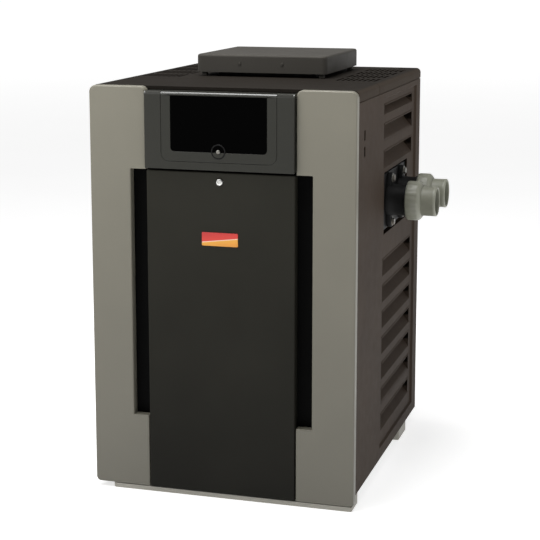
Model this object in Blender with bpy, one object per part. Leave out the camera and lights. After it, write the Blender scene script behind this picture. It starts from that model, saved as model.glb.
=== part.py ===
"""A gas pool heater: a louvred steel cabinet on two feet, with controls, burners, heat exchanger and unions.

Metres, +Z up. The origin is on the floor under the middle of the cabinet. The front faces -Y, the ports +X.
"""

import math

import bmesh
import bpy
from mathutils import Matrix, Vector

# Cabinet
WIDTH = 0.610
DEPTH = 0.704
TOP = 0.928  # top of the front covers and of the top panels
HALF = WIDTH / 2
FRONT = -DEPTH / 2
REAR = DEPTH / 2
SHEET = 0.002
GAP = 0.0005  # between neighbouring pieces

# Feet and floor of the cabinet
FOOT_HEIGHT = 0.030
FOOT_LEFT, FOOT_RIGHT = -0.262, 0.301
PAN_TOP = FOOT_HEIGHT + GAP + SHEET

# Front: two covers beside the door, with an air slot between each cover and the door
COVER_DEPTH = 0.020
COVER_WALL = 0.0025
COVER_EDGE = 0.0045
COVER_BOTTOM = 0.012
COVER_INNER = 0.1725
SLOT_OUTER = 0.209
SLOT_BOTTOM, SLOT_TOP = 0.180, 0.745
DOOR_HALF = 0.1705
DOOR_TOP = 0.7445
DOOR_FRONT = FRONT - 0.002
DOOR_DEPTH = 0.022
LOCK_Z = 0.7237
BADGE_HALF, BADGE_BOTTOM, BADGE_TOP = 0.0415, 0.5815, 0.6115
FRAME_Y = -0.3255
FRAME_HALF = 0.294
DOORWAY = (-0.155, 0.155, 0.075, 0.735)
DISPLAY_WINDOW = (-0.140, 0.140, 0.768, 0.885)

# Control bezel and the cover that flips up over the display
BEZEL_BOTTOM, BEZEL_TOP = 0.7495, 0.9195
BEZEL_FRONT, BEZEL_BACK = FRONT - 0.010, -0.328
LID_HALF, LID_BOTTOM = 0.132, 0.767
LID_FRONT, LID_BACK = BEZEL_FRONT - 0.0005, -0.3545
POCKET_FLOOR = -0.354
LID_AXIS = Vector((0, -0.3575, 0.909))
LATCH_Z = 0.791
LATCH_BOSS, LATCH_CUP = 0.0165, 0.0135
DISPLAY_FRONT, DISPLAY_BACK = -0.3505, -0.3475
KEY_Z = 0.8155
KEY_SPACING = 0.050

# Side panels: a recessed field holds the louvres
SIDE_MID = HALF - SHEET / 2
SIDE_FRONT, SIDE_BACK = -0.331, 0.3495
SIDE_BOTTOM, SIDE_TOP = 0.0335, 0.902
FIELD_FRONT, FIELD_BACK = -0.0875, 0.302
FIELD_BOTTOM, FIELD_TOP = 0.060, 0.890
FIELD_DEPTH, FIELD_SLOPE = 0.005, 0.004
LOUVRE_FRONT, LOUVRE_BACK = -0.058, 0.268
LOUVRE_PITCH, LOUVRE_HEIGHT, LOUVRE_LEAN = 0.0624, 0.043, 0.024
LOUVRE_LEVEL = 0.513  # upper lip of the highest louvre below the water ports
LOWER_LOUVRES = [LOUVRE_LEVEL - LOUVRE_PITCH * i for i in range(7)]
UPPER_LOUVRES = [0.768, 0.831]
SHORT_LOUVRE, SHORT_HEIGHT = 0.876, 0.026
SLIT_FRONT, SLIT_BACK = -0.2815, -0.2705  # two slits, one above the other, near the front edge
SLIT_BOTTOMS, SLIT_HEIGHT = (0.7810, 0.8165), 0.022

# Top
SKIRT_BOTTOM = 0.904
SHOULDER = 0.011
DECK_SEAM = -0.132
DECK_SLOT_WIDTH, DECK_SLOT_LENGTH = 0.006, 0.072
HOOD_HALF, HOOD_FRONT, HOOD_BACK = 0.1595, -0.046, 0.268
HOOD_TOP, HOOD_SKIRT = 0.980, 0.042
FLUE_HALF, FLUE_FRONT, FLUE_BACK = 0.120, 0.010, 0.212
FLUE_MARGIN = 0.006

# Water side
PORT_Z = 0.641
PORT_YS = {"inlet": 0.148, "outlet": 0.018}
EXCHANGER_Y = 0.083
EXCHANGER_SPAN = 0.280
HEADER_INNER, HEADER_OUTER = 0.238, 0.295
HEADER_HEIGHT = 0.088
TUBE_YS = [EXCHANGER_Y + 0.055 * i for i in range(-2, 3)]
TUBE_R, FIN_R, TUBE_HOLE = 0.011, 0.0245, 0.0115
PIPE_BORE, SOCKET_R = 0.027, 0.0302
PORT_END = 0.4135
NECK_END, NECK_R = 0.349, 0.040
NUT_START, NUT_END, NUT_R = 0.343, 0.379, 0.0465
TAIL_R = 0.0345
EAR_REACH, EAR_HALF, BOLT_OFFSET = 0.066, 0.017, 0.052
PORT_OPENING = (-0.050, 0.216, 0.568, 0.714)

# Fire side
CHAMBER_HALF, CHAMBER_FRONT, CHAMBER_BACK = 0.221, -0.061, 0.227
CHAMBER_BOTTOM, CHAMBER_TOP = 0.236, 0.593
BURNER_XS = [-0.135, -0.045, 0.045, 0.135]
BURNER_FRONT, BURNER_Z, BURNER_R = -0.215, 0.185, 0.020
MANIFOLD_Y, MANIFOLD_R = -0.262, 0.0135
VALVE_Z = 0.250
GAS_OUT_Y = -0.045

FINISHES = {
    "cover_grey": ((0.30, 0.29, 0.25), 0.45, 0.3),
    "charcoal": ((0.045, 0.046, 0.043), 0.5, 0.2),
    "cabinet_brown": ((0.075, 0.065, 0.058), 0.55, 0.2),
    "black": ((0.012, 0.012, 0.012), 0.5, 0.0),
    "smoked": ((0.004, 0.004, 0.005), 0.08, 0.0),
    "union_grey": ((0.30, 0.32, 0.29), 0.45, 0.0),
    "foot_grey": ((0.55, 0.54, 0.50), 0.5, 0.1),
    "galvanised": ((0.50, 0.52, 0.53), 0.4, 0.9),
    "zinc": ((0.75, 0.75, 0.73), 0.25, 1.0),
    "copper": ((0.72, 0.35, 0.20), 0.3, 1.0),
    "brass": ((0.62, 0.45, 0.16), 0.35, 1.0),
    "ceramic": ((0.80, 0.77, 0.70), 0.9, 0.0),
    "iron": ((0.10, 0.10, 0.10), 0.6, 0.7),
    "display": ((0.22, 0.27, 0.20), 0.2, 0.0),
    "key": ((0.62, 0.63, 0.62), 0.5, 0.0),
    "board": ((0.03, 0.16, 0.07), 0.5, 0.0),
    "red": ((0.55, 0.05, 0.03), 0.45, 0.0),
}


def finish_material(finish):
    """The material of that finish, made the first time that it is asked for."""
    found = bpy.data.materials.get(finish)
    if found:
        return found
    colour, roughness, metallic = FINISHES[finish]
    made = bpy.data.materials.new(finish)
    made.use_nodes = True
    shader = made.node_tree.nodes["Principled BSDF"]
    shader.inputs["Base Color"].default_value = (*colour, 1)
    shader.inputs["Roughness"].default_value = roughness
    shader.inputs["Metallic"].default_value = metallic
    made.diffuse_color = (*colour, 1)
    return made


def add(name, bm, finish=None):
    """The object made of this bmesh; one with no finish is a cutter or a joined part, and isn't rendered."""
    mesh = bpy.data.meshes.new(name)
    bm.to_mesh(mesh)
    bm.free()
    obj = bpy.data.objects.new(name, mesh)
    bpy.context.scene.collection.objects.link(obj)
    if finish:
        mesh.materials.append(finish_material(finish))
        mesh.shade_smooth()
        mesh.set_sharp_from_angle(angle=math.radians(35))
    else:
        obj.hide_render = True
        obj.display_type = "WIRE"
    return obj


def set_origin(obj, point):
    """Moves the object's origin to point, without moving its shape."""
    obj.data.transform(Matrix.Translation(-Vector(point)))
    obj.location = point


def boolean(obj, operation, other):
    modifier = obj.modifiers.new(operation.lower(), "BOOLEAN")
    modifier.operation = operation
    modifier.object = other
    modifier.solver = "EXACT"


def cut(obj, *cutters):
    for cutter in cutters:
        boolean(obj, "DIFFERENCE", cutter)


def fuse(obj, *others):
    for other in others:
        boolean(obj, "UNION", other)


def box(name, low, high, finish=None, bevel=0.0):
    bm = bmesh.new()
    bmesh.ops.create_cube(bm, size=1)
    size = Vector(high) - Vector(low)
    middle = (Vector(high) + Vector(low)) / 2
    bmesh.ops.scale(bm, vec=size, verts=bm.verts)
    bmesh.ops.translate(bm, vec=middle, verts=bm.verts)
    if bevel:
        bmesh.ops.bevel(bm, geom=bm.edges[:], offset=bevel, segments=2, profile=0.5, affect="EDGES")
    return add(name, bm, finish)


def turned(name, profile, start, axis, finish=None, steps=24):
    """A turned piece: profile is (distance along axis, radius) pairs; a radius of 0 is on the axis."""
    axis = Vector(axis).normalized()
    side = axis.orthogonal().normalized()
    up = axis.cross(side)
    bm = bmesh.new()
    rings = []
    for along, radius in profile:
        centre = Vector(start) + axis * along
        if radius == 0:
            rings.append([bm.verts.new(centre)] * steps)
            continue
        turns = [2 * math.pi * (i + 0.5) / steps for i in range(steps)]
        rings.append([bm.verts.new(centre + (side * math.cos(t) + up * math.sin(t)) * radius) for t in turns])
    for ring, following in zip(rings, rings[1:] + rings[:1]):
        for i in range(steps):
            j = (i + 1) % steps
            corners = list(dict.fromkeys([ring[i], ring[j], following[j], following[i]]))
            if len(corners) > 2:
                bm.faces.new(corners)
    bmesh.ops.recalc_face_normals(bm, faces=bm.faces)
    return add(name, bm, finish)


def rod(name, start, end, radius, finish=None, steps=12):
    length = (Vector(end) - Vector(start)).length
    profile = [(0, 0), (0, radius), (length, radius), (length, 0)]
    return turned(name, profile, start, Vector(end) - Vector(start), finish, steps)


def inset_outline(corners, inset, steps):
    """The outline through (a, b, radius) corners, counterclockwise, moved inwards, its corners as arcs."""
    count = len(corners)
    points = []
    for i in range(count):
        before, here, after = corners[i - 1], corners[i], corners[(i + 1) % count]
        arriving = (Vector(here[:2]) - Vector(before[:2])).normalized()
        leaving = (Vector(after[:2]) - Vector(here[:2])).normalized()
        turn = arriving.x * leaving.y - arriving.y * leaving.x
        inward = Vector((-arriving.y, arriving.x)) + Vector((-leaving.y, leaving.x))
        inward /= 1 + arriving.dot(leaving)
        corner = Vector(here[:2]) + inward * inset
        convex = turn > 0
        radius = max(here[2] - inset if convex else here[2] + inset, 0.0004)
        reach = radius * math.tan(arriving.angle(leaving) / 2)
        first = corner - arriving * reach
        normal = Vector((-arriving.y, arriving.x)) * (1 if convex else -1)
        centre = first + normal * radius
        sweep = arriving.angle(leaving) * (1 if convex else -1)
        spoke = first - centre
        points += [centre + Matrix.Rotation(sweep * k / steps, 2) @ spoke for k in range(steps + 1)]
    return points


def rectangle(a0, a1, b0, b1, radius):
    return [(a0, b0, radius), (a1, b0, radius), (a1, b1, radius), (a0, b1, radius)]


def stack(name, rings, finish=None):
    """The closed solid through rings of equal numbers of points, capped at both ends."""
    bm = bmesh.new()
    loops = [[bm.verts.new(p) for p in ring] for ring in rings]
    for ring, following in zip(loops, loops[1:]):
        for i in range(len(ring)):
            j = (i + 1) % len(ring)
            bm.faces.new([ring[i], ring[j], following[j], following[i]])
    bm.faces.new(loops[0])
    bm.faces.new(loops[-1])
    bmesh.ops.recalc_face_normals(bm, faces=bm.faces)
    return add(name, bm, finish)


def facing_front(a, b, depth):
    return Vector((a, depth, b))


def facing_front_mirrored(a, b, depth):
    return Vector((-a, depth, b))


def facing_up(a, b, depth):
    return Vector((a, b, -depth))


def facing_down(a, b, depth):
    return Vector((a, b, depth))


def facing_right(a, b, depth):
    return Vector((depth, a, b))


def edge_steps(radius, steps):
    """(inset, depth) pairs round an edge, from the face to the side."""
    turns = [math.pi / 2 * k / steps for k in range(steps + 1)]
    return [(radius * (1 - math.sin(t)), radius * (1 - math.cos(t))) for t in turns]


def tray(name, corners, place, face, depth, wall, edge, finish, corner_steps=3, edge_count=2):
    """A pressed or moulded tray: its face at depth `face`, its edges rounded, its sides running back."""
    outer = edge_steps(edge, edge_count) + [(0, depth)]
    inner_edge = max(edge - wall, 0.0006)
    inner = [(wall + i, wall + d) for i, d in edge_steps(inner_edge, edge_count)] + [(wall, depth)]
    levels = outer + inner[::-1]
    rings = [[place(p.x, p.y, face + d) for p in inset_outline(corners, i, corner_steps)] for i, d in levels]
    return stack(name, rings, finish)


def prism(name, corners, place, start, end, finish=None, corner_steps=3):
    outline = inset_outline(corners, 0, corner_steps)
    return stack(name, [[place(p.x, p.y, d) for p in outline] for d in (start, end)], finish)


def thicken(obj, thickness):
    modifier = obj.modifiers.new("sheet", "SOLIDIFY")
    modifier.thickness = thickness
    modifier.offset = 0
    modifier.use_even_offset = True
    return obj


def sheet(name, us, vs, place, finish, holes=(), flaps=()):
    """A folded sheet on the grid of us by vs, placed by place(u, v, inward).

    holes are (u0, u1, v0, v1). flaps are holes whose metal leans inward by LOUVRE_LEAN, still joined along v0.
    """
    openings = [*holes, *flaps]
    us = sorted({round(u, 6) for u in [*us, *(u for o in openings for u in o[:2])]})
    vs = sorted({round(v, 6) for v in [*vs, *(v for o in openings for v in o[2:])]})
    bm = bmesh.new()
    verts = {(u, v): bm.verts.new(place(u, v, 0)) for u in us for v in vs}

    def inside(opening, u, v):
        return opening[0] < u < opening[1] and opening[2] < v < opening[3]

    for u, next_u in zip(us, us[1:]):
        for v, next_v in zip(vs, vs[1:]):
            if not any(inside(o, (u + next_u) / 2, (v + next_v) / 2) for o in openings):
                bm.faces.new([verts[u, v], verts[next_u, v], verts[next_u, next_v], verts[u, next_v]])
    for u0, u1, v0, v1 in flaps:
        along = [u for u in us if round(u0, 6) <= u <= round(u1, 6)]
        tips = [bm.verts.new(place(u, v1 - 0.004, LOUVRE_LEAN)) for u in along]
        roots = [verts[u, round(v0, 6)] for u in along]
        for i in range(len(along) - 1):
            bm.faces.new([roots[i], roots[i + 1], tips[i + 1], tips[i]])
    bmesh.ops.delete(bm, geom=[v for v in bm.verts if not v.link_faces], context="VERTS")
    bmesh.ops.dissolve_limit(bm, angle_limit=math.radians(0.5), verts=bm.verts, edges=bm.edges)
    return thicken(add(name, bm, finish), SHEET)


def duct(name, rings, thickness, finish):
    """An open-ended duct through rectangular rings, given as (half width, front, back, z)."""
    bm = bmesh.new()
    loops = []
    for half, front, back, z in rings:
        corners = ((-half, front), (half, front), (half, back), (-half, back))
        loops.append([bm.verts.new((x, y, z)) for x, y in corners])
    for ring, following in zip(loops, loops[1:]):
        for i in range(4):
            j = (i + 1) % 4
            bm.faces.new([ring[i], ring[j], following[j], following[i]])
    return thicken(add(name, bm, finish), thickness)


def make_base():
    for name, front, back in (("base_front_rail", FRONT + 0.001, -0.290), ("base_rear_rail", 0.160, 0.250)):
        outline = rectangle(FOOT_LEFT, FOOT_RIGHT, front, back, 0.006)
        rail = tray(name, outline, facing_down, 0, FOOT_HEIGHT, SHEET, 0.004, "foot_grey")
        if front < 0:  # its front wall is low, to go under the door and the front covers
            cut(rail, box("rail_rebate", (-HALF, FRONT - 0.01, COVER_BOTTOM - GAP), (HALF, -0.3315, 0.04)))
    box(
        "base_pan",
        (-HALF + 0.004, SIDE_FRONT + 0.002, PAN_TOP - SHEET),
        (HALF - 0.004, REAR - 0.003, PAN_TOP),
        "galvanised",
    )


def make_side_panel(side):
    """A side panel; side is 1 on the right, with the water ports, and -1 on the left, with the gas inlet."""

    def recess(y, z):
        within_y = FIELD_FRONT + FIELD_SLOPE <= y <= FIELD_BACK - FIELD_SLOPE
        within_z = FIELD_BOTTOM + FIELD_SLOPE <= z <= FIELD_TOP - FIELD_SLOPE
        return FIELD_DEPTH if within_y and within_z else 0

    def place(y, z, inward):
        if y < SIDE_FRONT:  # the return flange behind the front cover
            return Vector((side * (SIDE_MID - 0.010), SIDE_FRONT + SHEET / 2, z))
        at_y = y + SHEET / 2 if y == SIDE_FRONT else y
        return Vector((side * (SIDE_MID - recess(y, z) - inward), at_y, z))

    ys = [SIDE_FRONT - 0.010, SIDE_FRONT, SIDE_BACK]
    ys += [FIELD_FRONT, FIELD_FRONT + FIELD_SLOPE, FIELD_BACK - FIELD_SLOPE, FIELD_BACK]
    zs = [SIDE_BOTTOM, FIELD_BOTTOM, FIELD_BOTTOM + FIELD_SLOPE, FIELD_TOP - FIELD_SLOPE, FIELD_TOP, SIDE_TOP]
    lips = [(z, LOUVRE_HEIGHT) for z in [*LOWER_LOUVRES, *UPPER_LOUVRES]] + [(SHORT_LOUVRE, SHORT_HEIGHT)]
    if side < 0:
        lips = [lip for lip in lips if abs(lip[0] - LOUVRE_HEIGHT / 2 - VALVE_Z) > LOUVRE_PITCH / 2]
    flaps = [(LOUVRE_FRONT, LOUVRE_BACK, z - height, z) for z, height in lips]
    holes = [(SLIT_FRONT, SLIT_BACK, low, low + SLIT_HEIGHT) for low in SLIT_BOTTOMS]
    if side > 0:
        holes.append(PORT_OPENING)
    name = "right_side_panel" if side > 0 else "left_side_panel"
    panel = sheet(name, ys, zs, place, "cabinet_brown", holes, flaps)
    if side < 0:
        inside, outside = ((x, GAS_OUT_Y, VALVE_Z) for x in (-0.28, -0.32))
        cut(panel, rod("gas_hole", inside, outside, 0.0165, steps=16))


def make_rear_panel():
    def place(x, z, inward):
        return Vector((x, REAR - SHEET / 2 - inward, z))

    flaps = [
        (low, low + 0.210, z - LOUVRE_HEIGHT, z)
        for low in (-0.245, 0.035)
        for z in (LOWER_LOUVRES[6], LOWER_LOUVRES[5], LOWER_LOUVRES[4], UPPER_LOUVRES[1])
    ]
    corners = [(-0.3015, -0.2890, 0.911, 0.9255), (0.2890, 0.3015, 0.911, 0.9255)]
    sheet("rear_panel", [-0.3015, 0.3015], [SIDE_BOTTOM, 0.9255], place, "cabinet_brown", corners, flaps)


def top_path():
    """The bent section of the top panels from the left skirt to the right one, as (x, z) points."""
    outer, top = HALF - SHEET / 2, TOP - SHEET / 2
    bend = [
        (outer - SHOULDER * (1 - math.cos(t)), top - SHOULDER * (1 - math.sin(t)))
        for t in (math.pi / 2 * k / 3 for k in range(4))
    ]
    right = [(outer, SKIRT_BOTTOM), *bend]
    return [(-x, z) for x, z in right] + right[::-1]


def make_top():
    path = top_path()
    flat_half = path[4][0]  # where the flat middle begins, on the left

    def place(u, y, inward):
        """u runs along the flat as x, and past it in whole steps through the bends."""
        if u < flat_half - 0.5:
            x, z = path[round(u + 10)]
        elif u > 0.5 - flat_half:
            x, z = path[round(u)]
        else:
            x, z = u, TOP - SHEET / 2
        return Vector((x, y, z - inward))

    ends = [-10, -9, -8, -7, flat_half, -flat_half, 6, 7, 8, 9]
    slots = [
        (low, low + DECK_SLOT_WIDTH, front, front + DECK_SLOT_LENGTH)
        for first in (-0.2825, 0.1904)
        for low in (first + 0.0123 * i for i in range(8))
        for front in (-0.084 + 0.096 * j for j in range(4))
    ]
    slots += [(low, low + 0.127, 0.321, 0.326) for low in (-0.277, 0.150)]
    flue_half = FLUE_HALF + FLUE_MARGIN
    flue = (-flue_half, flue_half, FLUE_FRONT - FLUE_MARGIN, FLUE_BACK + FLUE_MARGIN)
    sheet("top_front_panel", ends, [SIDE_FRONT + GAP, DECK_SEAM - 0.001], place, "cabinet_brown")
    sheet("top_rear_panel", ends, [DECK_SEAM + 0.001, REAR], place, "cabinet_brown", holes=[*slots, flue])
    outline = rectangle(-HOOD_HALF, HOOD_HALF, HOOD_FRONT, HOOD_BACK, 0.010)
    hood = tray("flue_hood", outline, facing_up, -HOOD_TOP, HOOD_SKIRT, SHEET, 0.005, "charcoal")
    for y in (HOOD_FRONT + 0.018, HOOD_BACK - 0.018):
        for x in (-0.144, 0.144):
            low = (x - 0.006, y - 0.006, TOP + GAP)
            high = (x + 0.006, y + 0.006, HOOD_TOP - SHEET / 2)
            fuse(hood, box("hood_leg", low, high))


def make_front():
    cover = [
        (COVER_INNER, COVER_BOTTOM, 0.002),
        (HALF, COVER_BOTTOM, 0.010),
        (HALF, TOP, 0.014),
        (COVER_INNER, TOP, 0.014),
        (COVER_INNER, SLOT_TOP, 0.002),
        (SLOT_OUTER, SLOT_TOP, 0.002),
        (SLOT_OUTER, SLOT_BOTTOM, 0.002),
        (COVER_INNER, SLOT_BOTTOM, 0.002),
    ]
    for name, place in (("right_front_cover", facing_front), ("left_front_cover", facing_front_mirrored)):
        tray(name, cover, place, FRONT, COVER_DEPTH, COVER_WALL, COVER_EDGE, "cover_grey")

    def on_frame(x, z, inward):
        return Vector((x, FRAME_Y + inward, z))

    frame_holes = [DOORWAY, DISPLAY_WINDOW]
    sheet("front_frame", [-FRAME_HALF, FRAME_HALF], [PAN_TOP + GAP, 0.900], on_frame, "black", frame_holes)

    outline = rectangle(-DOOR_HALF, DOOR_HALF, COVER_BOTTOM + GAP, DOOR_TOP, 0.003)
    door = tray("access_door", outline, facing_front, DOOR_FRONT, DOOR_DEPTH, SHEET, 0.003, "charcoal")
    cut(door, rod("lock_hole", (0, -0.36, LOCK_Z), (0, -0.345, LOCK_Z), 0.0050))
    set_origin(door, (0, DOOR_FRONT, COVER_BOTTOM + GAP))
    lock_front, lock_back = DOOR_FRONT - 0.0038, FRAME_Y + 0.006
    head = [(0, 0), (0, 0.0062), (0.0015, 0.0075), (0.0035, 0.0075), (0.0035, 0.0045)]
    head += [(lock_back - lock_front, 0.0045), (lock_back - lock_front, 0)]
    lock = turned("door_lock", head, (0, lock_front, LOCK_Z), (0, 1, 0), "zinc", steps=20)
    cam_low = (-0.0185, lock_back - 0.003, LOCK_Z - 0.0042)
    fuse(lock, box("lock_cam", cam_low, (0.002, lock_back - GAP, LOCK_Z + 0.0042)))
    slot = box("lock_slot", (-0.005, -0.3590, LOCK_Z - 0.0008), (0.005, -0.3568, LOCK_Z + 0.0008))
    cut(lock, slot)
    set_origin(lock, (0, DOOR_FRONT, LOCK_Z))
    badge = rectangle(-BADGE_HALF, BADGE_HALF, BADGE_BOTTOM, BADGE_TOP, 0.002)
    prism("badge_plate", badge, facing_front, DOOR_FRONT - 0.0015, DOOR_FRONT - 0.0003, "red")


def make_controls():
    outline = rectangle(-DOOR_HALF, DOOR_HALF, BEZEL_BOTTOM, BEZEL_TOP, 0.004)
    depth = BEZEL_BACK - BEZEL_FRONT
    bezel = tray("control_bezel", outline, facing_front, BEZEL_FRONT, depth, 0.003, 0.004, "charcoal")
    wall = 0.003
    fuse(
        bezel,
        box(
            "pocket_block",
            (-LID_HALF - wall, BEZEL_FRONT + 0.0015, LID_BOTTOM - wall),
            (LID_HALF + wall, POCKET_FLOOR + wall, BEZEL_TOP - 0.001),
        ),
        box("hinge_block", (-LID_HALF - wall, -0.3555, 0.894), (LID_HALF + wall, -0.343, BEZEL_TOP - 0.001)),
    )
    room = 0.0006
    lid_edge = [
        (-LID_HALF - room, LID_BOTTOM - room, 0.018),
        (LID_HALF + room, LID_BOTTOM - room, 0.018),
        (LID_HALF + room, 0.93, 0.001),
        (-LID_HALF - room, 0.93, 0.001),
    ]
    cut(
        bezel,
        prism("pocket", lid_edge, facing_front, -0.380, POCKET_FLOOR),
        box("hinge_trough", (-LID_HALF - room, -0.3545, 0.897), (LID_HALF + room, -0.346, 0.93)),
        box("display_hole", (-0.112, -0.36, 0.785), (0.112, -0.345, 0.890)),
        rod("pin_hole", (-0.1352, LID_AXIS.y, LID_AXIS.z), (0.1352, LID_AXIS.y, LID_AXIS.z), 0.0016),
    )

    lid_outline = [
        (-LID_HALF, LID_BOTTOM, 0.0175),
        (LID_HALF, LID_BOTTOM, 0.0175),
        (LID_HALF, BEZEL_TOP - GAP, 0.003),
        (-LID_HALF, BEZEL_TOP - GAP, 0.003),
    ]
    depth = LID_BACK - LID_FRONT
    rings = [(0.002, 0), (0.0006, 0.0006), (0, 0.002), (0, depth - 0.0015), (0.0015, depth)]
    lid = stack(
        "control_cover",
        [[facing_front(p.x, p.y, LID_FRONT + d) for p in inset_outline(lid_outline, i, 4)] for i, d in rings],
        "charcoal",
    )
    pane = [(-0.110, 0.789, 0.009), (0.110, 0.789, 0.009), (0.110, 0.9115, 0.002), (-0.110, 0.9115, 0.002)]
    rebate = [(a + math.copysign(0.0004, a), b + math.copysign(0.0004, b - 0.85), r) for a, b, r in pane]
    cut(
        lid,
        prism("rebate", rebate, facing_front, -0.38, LID_FRONT + 0.0024),
        prism("light_hole", rectangle(-0.104, 0.104, 0.795, 0.902, 0.006), facing_front, -0.38, -0.34),
        rod("lid_bore", (-0.14, LID_AXIS.y, LID_AXIS.z), (0.14, LID_AXIS.y, LID_AXIS.z), 0.0016),
    )
    through = ((0, -0.38, LATCH_Z), (0, -0.34, LATCH_Z))
    boss_ends = ((0, LID_FRONT - 0.001, LATCH_Z), (0, LID_BACK - 0.001, LATCH_Z))
    fuse(lid, rod("latch_boss", *boss_ends, LATCH_BOSS, steps=28))
    depth = LID_FRONT + 0.003 - through[0][1]
    cup = [(0, 0), (0, LATCH_CUP), (depth, LATCH_CUP), (depth, 0.0033), (0.04, 0.0033), (0.04, 0)]
    cut(lid, turned("latch_cup", cup, through[0], (0, 1, 0), steps=24))
    set_origin(lid, LID_AXIS)
    window = prism("cover_window", pane, facing_front, LID_FRONT + 0.0003, LID_FRONT + 0.0021, "smoked")
    cut(window, rod("window_notch", *through, LATCH_BOSS + GAP, steps=28))
    set_origin(window, LID_AXIS)
    rod("cover_hinge_pin", (-0.1345, *LID_AXIS[1:]), (0.1345, *LID_AXIS[1:]), 0.0013, "zinc", steps=10)
    latch_front, latch_back = LID_FRONT - 0.0033, -0.3460
    head = [(0, 0), (0, 0.0042), (0.0012, 0.0056), (0.0058, 0.0056), (0.0058, 0.0029)]
    head += [(latch_back - latch_front, 0.0029), (latch_back - latch_front, 0)]
    latch = turned("cover_latch", head, (0, latch_front, LATCH_Z), (0, 1, 0), "zinc", steps=16)
    cam_low = (-0.001, latch_back - 0.003, LATCH_Z - 0.0027)
    fuse(latch, box("latch_cam", cam_low, (0.0125, latch_back - GAP, LATCH_Z + 0.0027)))
    set_origin(latch, (0, LID_FRONT, LATCH_Z))

    panel = box("display_panel", (-0.125, DISPLAY_FRONT, 0.8025), (0.125, DISPLAY_BACK, 0.8925), "black")
    cut(panel, box("lcd_hole", (-0.0605, -0.36, 0.8345), (0.0605, -0.34, 0.8785)))
    box("lcd_screen", (-0.060, DISPLAY_FRONT + 0.001, 0.835), (0.060, -0.342, 0.878), "display")
    box("circuit_board", (-0.115, -0.3360, 0.772), (0.115, -0.3344, 0.882), "board")
    for name, x in (("key_mode", -KEY_SPACING), ("key_down", 0), ("key_up", KEY_SPACING)):
        cut(panel, rod(f"{name}_hole", (x, -0.36, KEY_Z), (x, -0.34, KEY_Z), 0.0088, steps=20))
        profile = [(0, 0), (0, 0.0075), (0.0008, 0.0083), (0.0055, 0.0083), (0.0055, 0.0105), (0.0070, 0.0105)]
        profile += [(0.0070, 0.003), (0.0140, 0.003), (0.0140, 0)]
        key = turned(name, profile, (x, DISPLAY_FRONT - 0.0020, KEY_Z), (0, 1, 0), "key", steps=20)
        set_origin(key, (x, DISPLAY_FRONT, KEY_Z))


def hollow_header(name, side, inner, outer):
    """A water header: a box with a hollow, and a hole for each tube in its inner wall."""
    front, back = EXCHANGER_Y - EXCHANGER_SPAN / 2, EXCHANGER_Y + EXCHANGER_SPAN / 2
    low, high = PORT_Z - HEADER_HEIGHT / 2, PORT_Z + HEADER_HEIGHT / 2

    def across(x0, x1, margin):
        xs = sorted((side * x0, side * x1))
        return (xs[0], front + margin, low + margin), (xs[1], back - margin, high - margin)

    header = box(name, *across(inner, outer, 0), "black", bevel=0.004)
    if side > 0:
        plate = (HEADER_OUTER - 0.009, front + 0.010, PORT_Z - EAR_REACH)
        fuse(header, box("header_plate", plate, (HEADER_OUTER, back - 0.010, PORT_Z + EAR_REACH)))
    cut(header, box(f"{name}_hollow", *across(inner + 0.010, outer - 0.010, 0.008)))
    for i, y in enumerate(TUBE_YS):
        start, end = (side * (inner - 0.01), y, PORT_Z), (side * (inner + 0.015), y, PORT_Z)
        cut(header, rod(f"{name}_tube_hole_{i}", start, end, TUBE_HOLE))
    return header


def make_exchanger():
    header = hollow_header("water_header", 1, HEADER_INNER, HEADER_OUTER)
    hollow_header("return_header", -1, HEADER_INNER, 0.280)
    for port, y in PORT_YS.items():
        bore_end = (HEADER_OUTER + 0.01, y, PORT_Z)
        cut(header, rod(f"{port}_bore", (HEADER_OUTER - 0.015, y, PORT_Z), bore_end, PIPE_BORE, steps=20))
        make_port(header, port, y)
    at = HEADER_INNER + 0.028
    start = EXCHANGER_Y - EXCHANGER_SPAN / 2 - GAP
    can = [(0, 0), (0, 0.008), (0.010, 0.008), (0.010, 0.016), (0.034, 0.016), (0.034, 0)]
    turned("pressure_switch", can, (at, start, PORT_Z + 0.016), (0, -1, 0), "zinc", steps=16)
    turned("drain_plug", [(0, 0), (0, 0.012), (0.009, 0.012), (0.009, 0)], (at, start, 0.612), (0, -1, 0), "brass", 6)
    packs, margin, stub = 4, 0.004, 0.010
    length = 2 * (HEADER_INNER - 0.012)
    pitch = length / packs
    for i, y in enumerate(TUBE_YS):
        profile = [(-stub, 0), (-stub, TUBE_R)]
        for pack in range(packs):
            start = pack * pitch + margin
            end = (pack + 1) * pitch - margin
            profile += [(start, TUBE_R), (start, FIN_R), (end, FIN_R), (end, TUBE_R)]
        profile += [(length + stub, TUBE_R), (length + stub, 0)]
        turned(f"finned_tube_{i + 1}", profile, (-length / 2, y, PORT_Z), (1, 0, 0), "copper", steps=8)


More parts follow.
